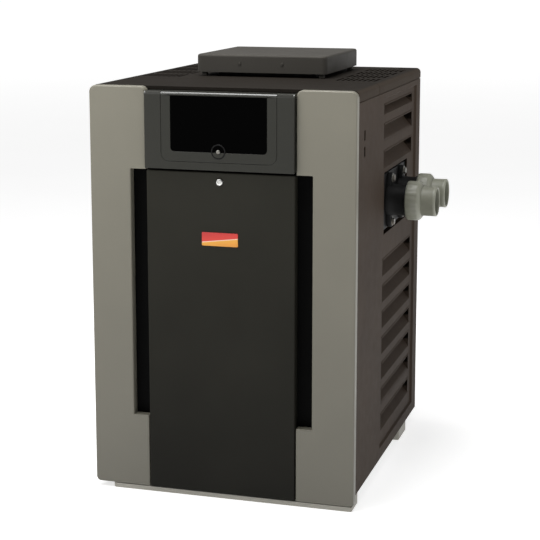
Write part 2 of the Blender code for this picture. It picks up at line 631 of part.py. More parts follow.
def make_port(header, port, y):
    """One water port: a bolted neck on the header, then a union's nut and socket."""
    start = HEADER_OUTER + GAP
    length = NECK_END - start
    neck = [(0, PIPE_BORE), (0, NECK_R), (length, NECK_R), (length, PIPE_BORE)]
    flange = turned(f"{port}_flange", neck, (start, y, PORT_Z), (1, 0, 0), "black")
    ear = rectangle(y - EAR_HALF, y + EAR_HALF, PORT_Z - EAR_REACH + 0.001, PORT_Z + EAR_REACH - 0.001, 0.012)
    fuse(flange, prism(f"{port}_ear", ear, facing_right, start, start + 0.010))
    bore = rod(f"{port}_neck_bore", (start - 0.005, y, PORT_Z), (start + 0.015, y, PORT_Z), PIPE_BORE, steps=24)
    cut(flange, bore)
    for place, offset in (("upper", BOLT_OFFSET), ("lower", -BOLT_OFFSET)):
        at = Vector((start + 0.010 + GAP, y, PORT_Z + offset))
        hole_name = f"{port}_{place}_hole"
        cut(flange, rod(hole_name, at - Vector((0.020, 0, 0)), at + Vector((0.01, 0, 0)), 0.0052, steps=8))
        cut(header, rod(f"{hole_name}_in_header", at - Vector((0.0172, 0, 0)), at, 0.0052, steps=8))
        bolt = [(0, 0), (0, 0.0085), (0.006, 0.0085), (0.006, 0)]
        bolt_obj = turned(f"{port}_{place}_bolt", bolt, at, (1, 0, 0), "zinc", steps=6)
        tip, root = at - Vector((0.0165, 0, 0)), at + Vector((0.002, 0, 0))
        fuse(bolt_obj, rod(f"{port}_{place}_shank", tip, root, 0.0045, steps=8))
    nut_length = NUT_END - NUT_START
    nut = [
        (0, NECK_R + GAP),
        (0, NUT_R - 0.003),
        (0.003, NUT_R),
        (nut_length - 0.006, NUT_R),
        (nut_length, NUT_R - 0.006),
        (nut_length, TAIL_R + GAP),
        (nut_length - 0.008, TAIL_R + GAP),
        (nut_length - 0.008, NECK_R + GAP),
    ]
    turned(f"{port}_union_nut", nut, (NUT_START, y, PORT_Z), (1, 0, 0), "union_grey")
    tail_start = NECK_END + GAP
    reach = PORT_END - tail_start
    tail = [
        (0, PIPE_BORE),
        (0, NECK_R),
        (0.007, NECK_R),
        (0.007, TAIL_R),
        (reach - 0.002, TAIL_R),
        (reach, TAIL_R - 0.0015),
        (reach, SOCKET_R),
        (reach - 0.038, SOCKET_R),
        (reach - 0.038, PIPE_BORE),
    ]
    turned(f"{port}_union_socket", tail, (tail_start, y, PORT_Z), (1, 0, 0), "union_grey")


def make_fire_side():
    base = (CHAMBER_HALF, CHAMBER_FRONT, CHAMBER_BACK)
    duct("chamber_shell", [(*base, CHAMBER_BOTTOM), (*base, CHAMBER_TOP)], SHEET, "galvanised")
    inner = 0.0125
    lining = (CHAMBER_HALF - inner, CHAMBER_FRONT + inner, CHAMBER_BACK - inner)
    duct("refractory_lining", [(*lining, CHAMBER_BOTTOM), (*lining, CHAMBER_TOP)], 0.020, "ceramic")
    flue = (FLUE_HALF, FLUE_FRONT, FLUE_BACK)
    rings = [(0.215, -0.055, 0.221, PORT_Z + HEADER_HEIGHT / 2 + 0.005), (*flue, 0.840), (*flue, 0.934)]
    duct("flue_collector", rings, SHEET, "galvanised")

    outline = rectangle(-0.200, 0.200, -0.235, 0.200, 0.004)
    tray("burner_tray", outline, facing_down, 0.100, 0.0635, SHEET, 0.003, "galvanised", 1, 1)
    for i, x in enumerate(BURNER_XS):
        profile = [
            (0, 0.0125),
            (0, 0.0175),
            (0.030, 0.0130),
            (0.075, BURNER_R),
            (0.400, BURNER_R),
            (0.400, 0),
            (0.398, 0),
            (0.398, BURNER_R - 0.0015),
            (0.076, BURNER_R - 0.0015),
            (0.030, 0.0110),
        ]
        turned(f"burner_{i + 1}", profile, (x, BURNER_FRONT, BURNER_Z), (0, 1, 0), "galvanised", steps=12)

    manifold = rod(
        "gas_manifold", (-0.165, MANIFOLD_Y, BURNER_Z), (0.165, MANIFOLD_Y, BURNER_Z), MANIFOLD_R, "iron", steps=14
    )
    for i, x in enumerate(BURNER_XS):
        start, end = (x, MANIFOLD_Y + 0.008, BURNER_Z), (x, BURNER_FRONT - 0.0035, BURNER_Z)
        fuse(manifold, rod(f"orifice_{i}", start, end, 0.0055, steps=8))
    fuse(manifold, rod("riser", (0, MANIFOLD_Y, BURNER_Z), (0, MANIFOLD_Y, 0.2145), 0.0125, steps=12))

    box("gas_valve", (-0.042, -0.295, 0.215), (0.042, -0.232, 0.283), "zinc", bevel=0.004)
    knob = [(0, 0), (0, 0.013), (0.003, 0.013), (0.004, 0.0115), (0.014, 0.0115), (0.016, 0.0095), (0.016, 0)]
    knob_obj = turned("gas_valve_knob", knob, (0.015, MANIFOLD_Y, 0.2835), (0, 0, 1), "red", steps=18)
    fuse(knob_obj, box("knob_pointer", (0.0135, -0.276, 0.291), (0.0165, -0.266, 0.3015)))
    set_origin(knob_obj, (0.015, MANIFOLD_Y, 0.2835))
    make_gas_pipe()
    profile = [(0, 0), (0, 0.009), (0.040, 0.009), (0.040, 0.004), (0.110, 0.004), (0.110, 0)]
    turned("igniter", profile, (-0.090, -0.245, 0.193), (0, 1, 0), "ceramic", steps=10)
    box("ignition_control", (0.085, -0.300, PAN_TOP + GAP), (0.150, -0.245, 0.098), "charcoal", bevel=0.003)
    box("transformer", (-0.150, -0.300, PAN_TOP + GAP), (-0.085, -0.245, 0.090), "iron", bevel=0.002)


def make_gas_pipe():
    """The gas supply pipe: from the valve to the left, back past the chamber, and out through the left panel."""
    bend = 0.030
    corners = [Vector((-0.0425, MANIFOLD_Y, VALVE_Z)), Vector((-0.262, MANIFOLD_Y, VALVE_Z))]
    corners += [Vector((-0.262, GAS_OUT_Y, VALVE_Z)), Vector((-PORT_END, GAS_OUT_Y, VALVE_Z))]
    points = [corners[0]]
    for before, here, after in zip(corners, corners[1:], corners[2:]):
        arriving, leaving = (here - before).normalized(), (after - here).normalized()
        centre = here - arriving * bend + leaving * bend
        for k in range(5):
            t = math.pi / 2 * k / 4
            points.append(centre - leaving * bend * math.cos(t) + arriving * bend * math.sin(t))
    points.append(corners[-1])
    curve = bpy.data.curves.new("gas_supply_pipe", "CURVE")
    curve.dimensions = "3D"
    curve.bevel_depth = 0.0133
    curve.bevel_resolution = 3
    curve.use_fill_caps = True
    spline = curve.splines.new("POLY")
    spline.points.add(len(points) - 1)
    for point, place in zip(spline.points, points):
        point.co = (*place, 1)
    curve.materials.append(finish_material("iron"))
    pipe = bpy.data.objects.new("gas_supply_pipe", curve)
    bpy.context.scene.collection.objects.link(pipe)


def main():
    for obj in list(bpy.data.objects):
        bpy.data.objects.remove(obj)
    make_base()
    make_side_panel(1)
    make_side_panel(-1)
    make_rear_panel()
    make_top()
    make_front()
    make_controls()
    make_exchanger()
    make_fire_side()


main()
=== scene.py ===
"""The looks of a gas pool heater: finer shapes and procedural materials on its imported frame.

Metres, +Z up. Places come from the frame's nodes. The front faces -Y and the water ports +X.
"""

import math

import bmesh
import bpy
from mathutils import Matrix, Vector


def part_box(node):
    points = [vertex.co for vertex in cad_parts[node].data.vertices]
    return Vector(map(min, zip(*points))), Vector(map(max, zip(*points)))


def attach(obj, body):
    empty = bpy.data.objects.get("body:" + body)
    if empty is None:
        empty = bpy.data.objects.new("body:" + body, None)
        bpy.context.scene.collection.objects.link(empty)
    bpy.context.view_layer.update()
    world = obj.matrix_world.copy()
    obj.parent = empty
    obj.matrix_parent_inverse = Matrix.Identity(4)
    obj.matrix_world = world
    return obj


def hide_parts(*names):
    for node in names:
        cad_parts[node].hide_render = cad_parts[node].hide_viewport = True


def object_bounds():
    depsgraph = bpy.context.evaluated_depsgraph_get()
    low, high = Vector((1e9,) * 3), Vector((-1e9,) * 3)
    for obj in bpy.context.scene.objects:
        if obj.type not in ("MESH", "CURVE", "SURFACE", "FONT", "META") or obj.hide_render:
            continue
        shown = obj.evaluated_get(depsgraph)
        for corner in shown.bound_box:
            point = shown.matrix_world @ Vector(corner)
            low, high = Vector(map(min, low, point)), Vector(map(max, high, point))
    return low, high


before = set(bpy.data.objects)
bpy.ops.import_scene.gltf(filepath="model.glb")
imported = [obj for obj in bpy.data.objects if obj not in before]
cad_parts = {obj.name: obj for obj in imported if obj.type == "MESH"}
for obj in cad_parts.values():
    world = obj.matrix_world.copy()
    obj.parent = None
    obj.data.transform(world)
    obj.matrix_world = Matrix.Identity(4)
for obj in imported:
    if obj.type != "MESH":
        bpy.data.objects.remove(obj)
cad_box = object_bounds()

TINY = 0.0004  # the width of the strip that keeps a flat face's shading flat beside a round edge
SHEET = 0.0012  # the thickness of painted sheet metal
FOLD_EDGE = 0.0002  # the rounding of a folded strip's edges
SQUARE = 0.0003  # the rounding of a folded strip's corners

RIGHT, LEFT = (1, 0, 0), (-1, 0, 0)
FRONT, BACK = (0, -1, 0), (0, 1, 0)

SHADE_FADE_LOW, SHADE_FADE_HIGH = 0.06, 0.95  # the heights over which the painted shade towards the floor fades out
SHADE_UNEVENNESS = 0.12


# Materials


def new_material(name, roughness, metallic, specular):
    """(material, its node tree, its shader, its object coordinates)."""
    material = bpy.data.materials.new(name)
    material.use_nodes = True
    tree = material.node_tree
    shader = tree.nodes["Principled BSDF"]
    shader.inputs["Roughness"].default_value = roughness
    shader.inputs["Metallic"].default_value = metallic
    shader.inputs["Specular IOR Level"].default_value = specular
    return material, tree, shader, tree.nodes.new("ShaderNodeTexCoord").outputs["Object"]


def noise(tree, coords, scale, detail=3.0, stretch=(1, 1, 1)):
    """Noise from 0 to 1, about `scale` features to the metre, drawn out where stretch is small."""
    mapping = tree.nodes.new("ShaderNodeMapping")
    mapping.inputs["Scale"].default_value = stretch
    tree.links.new(coords, mapping.inputs["Vector"])
    texture = tree.nodes.new("ShaderNodeTexNoise")
    texture.inputs["Scale"].default_value = scale
    texture.inputs["Detail"].default_value = detail
    tree.links.new(mapping.outputs["Vector"], texture.inputs["Vector"])
    return texture.outputs["Fac"]


def ramp(tree, factor, stops):
    """A colour ramp over (position, colour) stops."""
    node = tree.nodes.new("ShaderNodeValToRGB")
    elements = node.color_ramp.elements
    while len(elements) < len(stops):
        elements.new(0.5)
    for element, (position, colour) in zip(elements, stops):
        element.position = position
        element.color = (*colour, 1)
    tree.links.new(factor, node.inputs["Fac"])
    return node.outputs["Color"]


def map_range(tree, value, from_min, from_max, to_min=0.0, to_max=1.0):
    """The value, kept within from_min..from_max and mapped to to_min..to_max."""
    node = tree.nodes.new("ShaderNodeMapRange")
    limits = {"From Min": from_min, "From Max": from_max, "To Min": to_min, "To Max": to_max}
    for socket, limit in limits.items():
        node.inputs[socket].default_value = limit
    tree.links.new(value, node.inputs["Value"])
    return node.outputs["Result"]


def span(tree, factor, low, high):
    """The factor, about 0.3 to 0.7, mapped to low..high."""
    return map_range(tree, factor, 0.3, 0.7, low, high)


def along(tree, coords, axis):
    """The coordinates' X, Y or Z."""
    node = tree.nodes.new("ShaderNodeSeparateXYZ")
    tree.links.new(coords, node.inputs["Vector"])
    return node.outputs[axis]


def calculate(tree, operation, *terms):
    """The Math operation on terms, which are outputs or numbers."""
    node = tree.nodes.new("ShaderNodeMath")
    node.operation = operation
    for socket, term in zip(node.inputs, terms):
        if isinstance(term, (int, float)):
            socket.default_value = term
        else:
            tree.links.new(term, socket)
    return node.outputs["Value"]


def colour_mix(tree, blend_type, colour):
    """A Mix node with the colour as its A."""
    node = tree.nodes.new("ShaderNodeMix")
    node.data_type = "RGBA"
    node.blend_type = blend_type
    node.inputs["Factor"].default_value = 1.0
    tree.links.new(colour, node.inputs["A"])
    return node


def add_bump(tree, shader, height, depth, strength=1.0):
    """Adds a bump to those that the shader has."""
    node = tree.nodes.new("ShaderNodeBump")
    node.inputs["Distance"].default_value = depth
    node.inputs["Strength"].default_value = strength
    tree.links.new(height, node.inputs["Height"])
    earlier = shader.inputs["Normal"].links
    if earlier:
        tree.links.new(earlier[0].from_socket, node.inputs["Normal"])
    tree.links.new(node.outputs["Normal"], shader.inputs["Normal"])


def scaled(colour, factor):
    return tuple(min(1.0, c * factor) for c in colour)


def add_painted_floor_shade(tree, coords, colour, floor_shade_tone):
    """The colour, with painted shade that darkens it towards the floor, in uneven patches."""
    patches = noise(tree, coords, 9, detail=5)
    level = calculate(tree, "MULTIPLY_ADD", patches, SHADE_UNEVENNESS, along(tree, coords, "Z"))
    mix = colour_mix(tree, "MULTIPLY", colour)
    tree.links.new(map_range(tree, level, SHADE_FADE_LOW, SHADE_FADE_HIGH, floor_shade_tone), mix.inputs["B"])
    return mix.outputs["Result"]


def coated(name, colour, roughness, specular, drift, grain_scale=420, grain_depth=0.0001, floor_shade_tone=1.0):
    """Paint or moulded plastic: a tone that drifts a little, and grain in colour, gloss and surface.

    The last argument, under 1, is the tone near the floor: painted shade that darkens the lower parts.
    """
    material, tree, shader, coords = new_material(name, roughness=roughness, metallic=0.0, specular=specular)
    clouds = span(tree, noise(tree, coords, 5, detail=4), 0.12, 0.53)
    speckle = noise(tree, coords, grain_scale * 1.7, detail=2)
    mixed = calculate(tree, "MULTIPLY_ADD", speckle, 0.35, clouds)
    dark, light = scaled(colour, 1 - drift), scaled(colour, 1 + drift)
    tone = ramp(tree, mixed, [(0.2, dark), (0.5, colour), (0.8, light)])
    # painted shade: the colour darkens towards the floor
    if floor_shade_tone < 1:
        tone = add_painted_floor_shade(tree, coords, tone, floor_shade_tone)
    tree.links.new(tone, shader.inputs["Base Color"])
    gloss = noise(tree, coords, 40, detail=3)
    tree.links.new(span(tree, gloss, roughness - 0.03, roughness + 0.03), shader.inputs["Roughness"])
    add_bump(tree, shader, noise(tree, coords, grain_scale, detail=2), grain_depth)
    add_bump(tree, shader, noise(tree, coords, 14, detail=2), 0.0002, strength=0.25)
    return material


def paint_shoulder_light(material, colour):
    """Gives the material a lighter colour where the deck bends down at its sides: a painted highlight for the
    light that falls on them.
    """
    tree = material.node_tree
    base_colour = tree.nodes["Principled BSDF"].inputs["Base Color"]
    coords = tree.nodes.new("ShaderNodeTexCoord").outputs["Object"]
    away = calculate(tree, "ABSOLUTE", along(tree, coords, "X"))
    mix = colour_mix(tree, "MIX", base_colour.links[0].from_socket)
    mix.inputs["B"].default_value = (*colour, 1)
    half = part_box("top_rear_panel")[1].x
    blend_start, blend_end = half - 0.0095, half - 0.0015
    tree.links.new(map_range(tree, away, blend_start, blend_end), mix.inputs["Factor"])
    tree.links.new(mix.outputs["Result"], base_colour)


def spangled(name, colour):
    """Galvanised sheet: zinc crystals that each take the light their own way."""
    material, tree, shader, coords = new_material(name, roughness=0.38, metallic=0.9, specular=0.5)
    crystals = tree.nodes.new("ShaderNodeTexVoronoi")
    crystals.inputs["Scale"].default_value = 110
    tree.links.new(coords, crystals.inputs["Vector"])
    tones = [(0.0, scaled(colour, 0.72)), (1.0, scaled(colour, 1.2))]
    tree.links.new(ramp(tree, crystals.outputs["Color"], tones), shader.inputs["Base Color"])
    tree.links.new(span(tree, crystals.outputs["Color"], 0.28, 0.5), shader.inputs["Roughness"])
    add_bump(tree, shader, crystals.outputs["Distance"], 0.00015)
    return material


def metal(name, colour, roughness, tarnish, amount, scale=25):
    """Bare metal with stains and a fine grain."""
    material, tree, shader, coords = new_material(name, roughness=roughness, metallic=1.0, specular=0.5)
    stains = noise(tree, coords, scale, detail=6)
    stained = tuple(c * (1 - amount) + t * amount for c, t in zip(colour, tarnish))
    tree.links.new(ramp(tree, stains, [(0.35, stained), (0.6, colour)]), shader.inputs["Base Color"])
    tree.links.new(span(tree, stains, roughness + 0.12, roughness - 0.03), shader.inputs["Roughness"])
    add_bump(tree, shader, noise(tree, coords, 900, detail=1), 0.00004)
    return material


def fibrous(name, colour):
    """Pressed ceramic fibre board: matted fibres, with pits."""
    material, tree, shader, coords = new_material(name, roughness=0.95, metallic=0.0, specular=0.2)
    fibres = noise(tree, coords, 160, detail=6, stretch=(1, 1, 0.2))
    tones = [(0.3, scaled(colour, 0.6)), (0.55, colour), (0.8, scaled(colour, 1.15))]
    tree.links.new(ramp(tree, fibres, tones), shader.inputs["Base Color"])
    add_bump(tree, shader, fibres, 0.0012)
    return material


def badge_face(name):
    """A plain plate: red above an orange band that rises to the right, with a pale line between."""
    low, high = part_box("badge_plate")
    material, tree, shader, coords = new_material(name, roughness=0.3, metallic=0.0, specular=0.5)
    rise = 0.35 * (high.z - low.z)
    drop = map_range(tree, along(tree, coords, "X"), low.x, high.x, 0.0, -rise)
    level = calculate(tree, "ADD", along(tree, coords, "Z"), drop)
    bands = [
        (0.0, (0.70, 0.26, 0.03)),
        (0.42, (0.75, 0.36, 0.05)),
        (0.45, (0.85, 0.74, 0.62)),
        (0.48, (0.62, 0.045, 0.03)),
        (1.0, (0.50, 0.03, 0.03)),
    ]
    height = map_range(tree, level, low.z - rise, high.z)
    tree.links.new(ramp(tree, height, bands), shader.inputs["Base Color"])
    add_bump(tree, shader, noise(tree, coords, 300, detail=2), 0.00003)
    return material


# name: colour, roughness, specular, drift, then the grain to the metre, its depth and the tone of the painted
# shade near the floor
COATINGS = {
    "cover_grey": ((0.200, 0.189, 0.149), 0.42, 0.45, 0.05, 520, 0.00006, 0.55),
    "door_charcoal": ((0.029, 0.028, 0.022), 0.55, 0.08, 0.12, 480, 0.00010, 0.32),
    "bezel_charcoal": ((0.030, 0.030, 0.025), 0.42, 0.2, 0.08, 650, 0.00008),
    "bezel_gloss": ((0.030, 0.030, 0.025), 0.22, 0.9, 0.08, 650, 0.00003),
    "hood_charcoal": ((0.056, 0.052, 0.045), 0.50, 0.10, 0.10, 480, 0.00008),
    "cabinet_brown": ((0.055, 0.040, 0.030), 0.65, 0.06, 0.18, 300, 0.00020, 0.7),
    "deck_brown": ((0.018, 0.0152, 0.0125), 0.70, 0.04, 0.18, 300, 0.00020),
    # painted shade: near-black for the shade deep in the slots and in the gap above the bezel
    "frame_black": ((0.003, 0.003, 0.003), 0.8, 0.05, 0.2),
    "header_black": ((0.006, 0.006, 0.006), 0.55, 0.15, 0.2, 300, 0.0002),
    "smoked_window": ((0.0006, 0.0006, 0.0006), 0.10, 0.015, 0.1, 30, 0.00001),
    "union_grey": ((0.226, 0.229, 0.182), 0.38, 0.5, 0.10, 260, 0.00012),
    "foot_grey": ((0.27, 0.26, 0.225), 0.5, 0.4, 0.08, 420, 0.00008),
    "display": ((0.20, 0.25, 0.17), 0.18, 0.5, 0.05, 60, 0.00001),
    "key": ((0.50, 0.51, 0.50), 0.6, 0.3, 0.06, 500, 0.00008),
    "board": ((0.02, 0.13, 0.05), 0.35, 0.5, 0.3, 120, 0.0002),
    "red": ((0.50, 0.04, 0.025), 0.35, 0.5, 0.06, 300, 0.00005),
}

# name: colour, roughness, tarnish, how much of it, then the stains to the metre
METALS = {
    "zinc": ((0.78, 0.78, 0.76), 0.22, (0.5, 0.48, 0.42), 0.25),
    "weathered_zinc": ((0.30, 0.30, 0.28), 0.5, (0.16, 0.12, 0.09), 0.5, 60),
    # painted shade: steel darkened to stand for the shadow inside the cabinet
    "shade_darkened_steel": ((0.05, 0.05, 0.05), 0.6, (0.02, 0.015, 0.012), 0.5, 30),
    "copper": ((0.78, 0.36, 0.20), 0.32, (0.25, 0.12, 0.08), 0.5),
    "brass": ((0.66, 0.47, 0.17), 0.30, (0.3, 0.2, 0.08), 0.4),
    "iron": ((0.09, 0.09, 0.09), 0.5, (0.10, 0.05, 0.03), 0.4, 60),
}


def make_materials():
    materials = {name: coated(name, *values) for name, values in COATINGS.items()}
    # painted light: the deck's shoulders lighter, as if lit from the side
    paint_shoulder_light(materials["deck_brown"], (0.050, 0.039, 0.030))
    materials.update({name: metal(name, *values) for name, values in METALS.items()})
    materials["galvanised"] = spangled("galvanised", (0.38, 0.385, 0.38))
    materials["ceramic"] = fibrous("ceramic", (0.78, 0.75, 0.68))
    materials["badge"] = badge_face("badge")
    return materials


MATERIALS = make_materials()


# Meshes


def piece(name, bm, material, stands_for=(), body="cabinet", sharp=35):
    """A piece of the heater, with its smooth shading, its material and the body that it rides on."""
    mesh = bpy.data.meshes.new(name)
    bm.to_mesh(mesh)
    bm.free()
    mesh.materials.append(MATERIALS[material])
    mesh.shade_smooth()
    mesh.set_sharp_from_angle(angle=math.radians(sharp))
    obj = bpy.data.objects.new(name, mesh)
    bpy.context.scene.collection.objects.link(obj)
    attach(obj, body)
    if stands_for:
        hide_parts(*stands_for)
    return obj


def soften(obj, width=0.0006, angle=30):
    """Rounds the piece's or the node's sharp edges."""
    bevel = obj.modifiers.new("soften", "BEVEL")
    bevel.width = width
    bevel.segments = 2
    bevel.limit_method = "ANGLE"
    bevel.angle_limit = math.radians(angle)
    bevel.harden_normals = True


def inset_outline(corners, inset, steps):
    """The outline through counterclockwise (a, b, radius) corners, moved inwards, its corners as arcs."""
    points = []
    for i, here in enumerate(corners):
        before, after = corners[i - 1], corners[(i + 1) % len(corners)]
        arriving = (Vector(here[:2]) - Vector(before[:2])).normalized()
        leaving = (Vector(after[:2]) - Vector(here[:2])).normalized()
        convex = arriving.x * leaving.y - arriving.y * leaving.x > 0
        inward = Vector((-arriving.y, arriving.x)) + Vector((-leaving.y, leaving.x))
        corner = Vector(here[:2]) + inward / (1 + arriving.dot(leaving)) * inset
        radius = max(here[2] - inset if convex else here[2] + inset, 0.0003)
        first = corner - arriving * radius * math.tan(arriving.angle(leaving) / 2)
        centre = first + Vector((-arriving.y, arriving.x)) * radius * (1 if convex else -1)
        sweep = arriving.angle(leaving) * (1 if convex else -1)
        turns = [Matrix.Rotation(sweep * k / steps, 2) for k in range(steps + 1)]
        points += [centre + turn @ (first - centre) for turn in turns]
    return points


def outline_rings(corners, place, profile, corner_steps):
    """The outline at each (inset, depth) of the profile."""
    rings = []
    for inset, depth in profile:
        rings.append([place(p.x, p.y, depth) for p in inset_outline(corners, inset, corner_steps)])
    return rings


def rectangle(a0, a1, b0, b1, radius):
    return [(a0, b0, radius), (a1, b0, radius), (a1, b1, radius), (a0, b1, radius)]


def add_rings(bm, rings, caps=True):
    """Skins the rings of points. caps closes both ends; without them the last ring joins the first."""
    loops = [[bm.verts.new(p) for p in ring] for ring in rings]
    faces = []
    for ring, following in zip(loops, loops[1:] if caps else loops[1:] + loops[:1]):
        for i in range(len(ring)):
            j = (i + 1) % len(ring)
            faces.append(bm.faces.new([ring[i], ring[j], following[j], following[i]]))
    if caps:
        faces += [bm.faces.new(loops[0]), bm.faces.new(loops[-1])]
    bmesh.ops.recalc_face_normals(bm, faces=faces)


def facing_front(a, b, depth):
    return Vector((a, depth, b))


def facing_front_mirrored(a, b, depth):
    return Vector((-a, depth, b))


def facing_up(a, b, depth):
    return Vector((a, b, -depth))


def facing_down(a, b, depth):
    return Vector((a, b, depth))


def facing_right(a, b, depth):
    return Vector((depth, a, b))


def round_edge(radius, steps):
    """(inset, depth) pairs round an edge, from the face to the side, with a narrow flat strip at each end."""
    turns = [math.pi / 2 * k / steps for k in range(steps + 1)]
    arc = [(radius * (1 - math.sin(t)), radius * (1 - math.cos(t))) for t in turns]
    return [(radius + TINY, 0), *arc, (0, radius + TINY)]


def add_tray(bm, corners, place, face, depth, wall, edge, corner_steps=8, edge_count=6):
    """A tray with its face at depth `face`, rounded edges, and sides that run back to an open end."""
    outer = round_edge(edge, edge_count) + [(0, depth)]
    inner = [(wall + i, wall + d) for i, d in round_edge(max(edge - wall, 0.0005), 3)] + [(wall, depth)]
    profile = [(i, face + d) for i, d in outer + inner[::-1]]
    add_rings(bm, outline_rings(corners, place, profile, corner_steps))


def add_plate(bm, corners, place, start, end, edge=0.0008, corner_steps=8):
    """A plate between two depths, its front edge rounded."""
    profile = [(i, start + d) for i, d in round_edge(edge, 3)] + [(0, end)]
    add_rings(bm, outline_rings(corners, place, profile, corner_steps))


def add_turned(bm, profile, start, axis, steps=48, flutes=None, phase=0.0):
    """A shape turned from (distance along axis, radius) pairs round its section.

    flutes is (count, depth, from, to): grooves along the axis between those distances.
    """
    axis = Vector(axis).normalized()
    side = axis.orthogonal().normalized()
    up = axis.cross(side)
    rings = []
    for distance, radius in profile:
        centre = Vector(start) + axis * distance
        if radius == 0:
            rings.append([bm.verts.new(centre)] * steps)
            continue
        ring = []
        for i in range(steps):
            turn = 2 * math.pi * (i + phase) / steps
            reach = radius
            if flutes and flutes[2] <= distance <= flutes[3]:
                reach -= flutes[1] * (0.5 - 0.5 * math.cos(flutes[0] * turn)) ** 3
            ring.append(bm.verts.new(centre + (side * math.cos(turn) + up * math.sin(turn)) * reach))
        rings.append(ring)
    faces = []
    for ring, following in zip(rings, rings[1:] + rings[:1]):
        for i in range(steps):
            j = (i + 1) % steps
            corners = list(dict.fromkeys([ring[i], ring[j], following[j], following[i]]))
            if len(corners) > 2:
                faces.append(bm.faces.new(corners))
    bmesh.ops.recalc_face_normals(bm, faces=faces)


def add_hex_screw(bm, at, direction, size, head):
    """A hex head on a round washer, standing on a surface at `at` and pointing along direction."""
    add_turned(bm, [(0, 0), (0, size * 1.35), (0.0007, size * 1.3), (0.0009, 0)], at, direction, steps=24)
    hexagon = [(0.0006, 0), (0.0006, size), (head * 0.8, size), (head, size * 0.86), (head, 0)]
    add_turned(bm, hexagon, at, direction, steps=6)


# Front


def make_front_covers():
    low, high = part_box("right_front_cover")
    wall, edge = 0.0025, 0.0032
    slot_outer = high.x - 0.096
    slot_low, slot_high = low.z + 0.168, low.z + 0.733
    outline = [
        (low.x, low.z, 0.002),
        (high.x, low.z, 0.011),
        (high.x, high.z, 0.015),
        (low.x, high.z, 0.013),
        (low.x, slot_high, 0.002),
        (slot_outer, slot_high, 0.002),
        (slot_outer, slot_low, 0.002),
        (low.x, slot_low, 0.002),
    ]
    for name, place in (("right_front_cover", facing_front), ("left_front_cover", facing_front_mirrored)):
        bm = bmesh.new()
        add_tray(bm, outline, place, low.y, high.y - low.y, wall, edge)
        piece(f"{name}_shell", bm, "cover_grey", [name])


def make_door():
    low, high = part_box("access_door")
    edge = 0.0028
    bm = bmesh.new()
    outline = rectangle(low.x, high.x, low.z, high.z, 0.003)
    add_tray(bm, outline, facing_front, low.y, high.y - low.y, SHEET, edge, corner_steps=4, edge_count=5)
    piece("access_door_shell", bm, "door_charcoal", ["access_door"], "access_door")

    low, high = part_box("badge_plate")
    bm = bmesh.new()
    add_plate(bm, rectangle(low.x, high.x, low.z, high.z, 0.0022), facing_front, low.y, high.y, 0.0005)
    piece("badge_face", bm, "badge", ["badge_plate"], "access_door")
    make_door_lock()


def make_door_lock():
    """A round head with a dished face and a blade across it, a shank, and a cam behind the door."""
    low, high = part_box("door_lock")
    centre = Vector((0, low.y, low.z + high.x))
    length = high.y - low.y
    radius, shank = high.x, 0.0045
    profile = [
        (0.0012, 0),
        (0.0012, radius * 0.42),
        (0, radius * 0.5),
        (0, radius * 0.80),
        (0.0004, radius * 0.9),
        (0.0013, radius * 0.985),
        (0.0022, radius),
        (0.0037, radius),
        (0.0037, shank),
        (length, shank),
        (length, 0),
    ]
    bm = bmesh.new()
    add_turned(bm, profile, centre, BACK, steps=40)
    half_cam, half_blade = 0.0042, 0.0008
    cam = rectangle(low.x, 0.002, centre.z - half_cam, centre.z + half_cam, 0.002)
    add_plate(bm, cam, facing_front, high.y - 0.003, high.y - 0.0005, 0.0004)
    blade = rectangle(-radius * 0.4, radius * 0.4, centre.z - half_blade, centre.z + half_blade, 0.0005)
    add_plate(bm, blade, facing_front, low.y + 0.0004, low.y + 0.002, 0.0002, corner_steps=3)
    piece("door_lock_head", bm, "zinc", ["door_lock"], "door_lock")


# Controls


def add_top_roll(bm, left, right, front, top, back, radius):
    """A bar along X whose front top edge is a quarter round."""
    steps = 8
    turns = [math.pi / 2 * k / steps for k in range(steps + 1)]
    section = [(front, top - radius - TINY)]
    section += [(front + radius * (1 - math.cos(t)), top - radius * (1 - math.sin(t))) for t in turns]
    section += [(front + radius + TINY, top), (back, top), (back, top - radius - TINY)]
    add_rings(bm, [[Vector((x, y, z)) for y, z in section] for x in (left, right)])


ROLL = 0.0065  # the radius of the bezel's and the cover's top edge


def lid_front():
    """Where the control cover's face is; its window lies a little behind it."""
    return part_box("cover_window")[0].y - 0.0003


def make_bezel():
    """A frame round the control cover, open at its top."""
    low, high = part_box("control_bezel")
    lid_low, lid_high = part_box("control_cover")
    room = 0.0009
    top = high.z - ROLL
    proud = 0.0002
    depth, wall, edge = 0.0085, 0.0016, 0.0010
    outline = [
        (low.x - proud, low.z, 0.002),
        (high.x + proud, low.z, 0.002),
        (high.x + proud, top, 0.0005),
        (lid_high.x + room, top, 0.0005),
        (lid_high.x + room, lid_low.z - room, 0.018),
        (lid_low.x - room, lid_low.z - room, 0.018),
        (lid_low.x - room, top, 0.0005),
        (low.x - proud, top, 0.0005),
    ]
    bm = bmesh.new()
    add_tray(bm, outline, facing_front, low.y - proud, depth, wall, edge, edge_count=4)
    piece("bezel_face", bm, "bezel_charcoal")
    bm = bmesh.new()
    for left, right in ((low.x - proud, lid_low.x - room), (lid_high.x + room, high.x + proud)):
        add_top_roll(bm, left, right, low.y - proud, high.z + proud, high.y, ROLL)
    piece("bezel_top_roll", bm, "bezel_gloss")
    soften(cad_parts["control_bezel"])


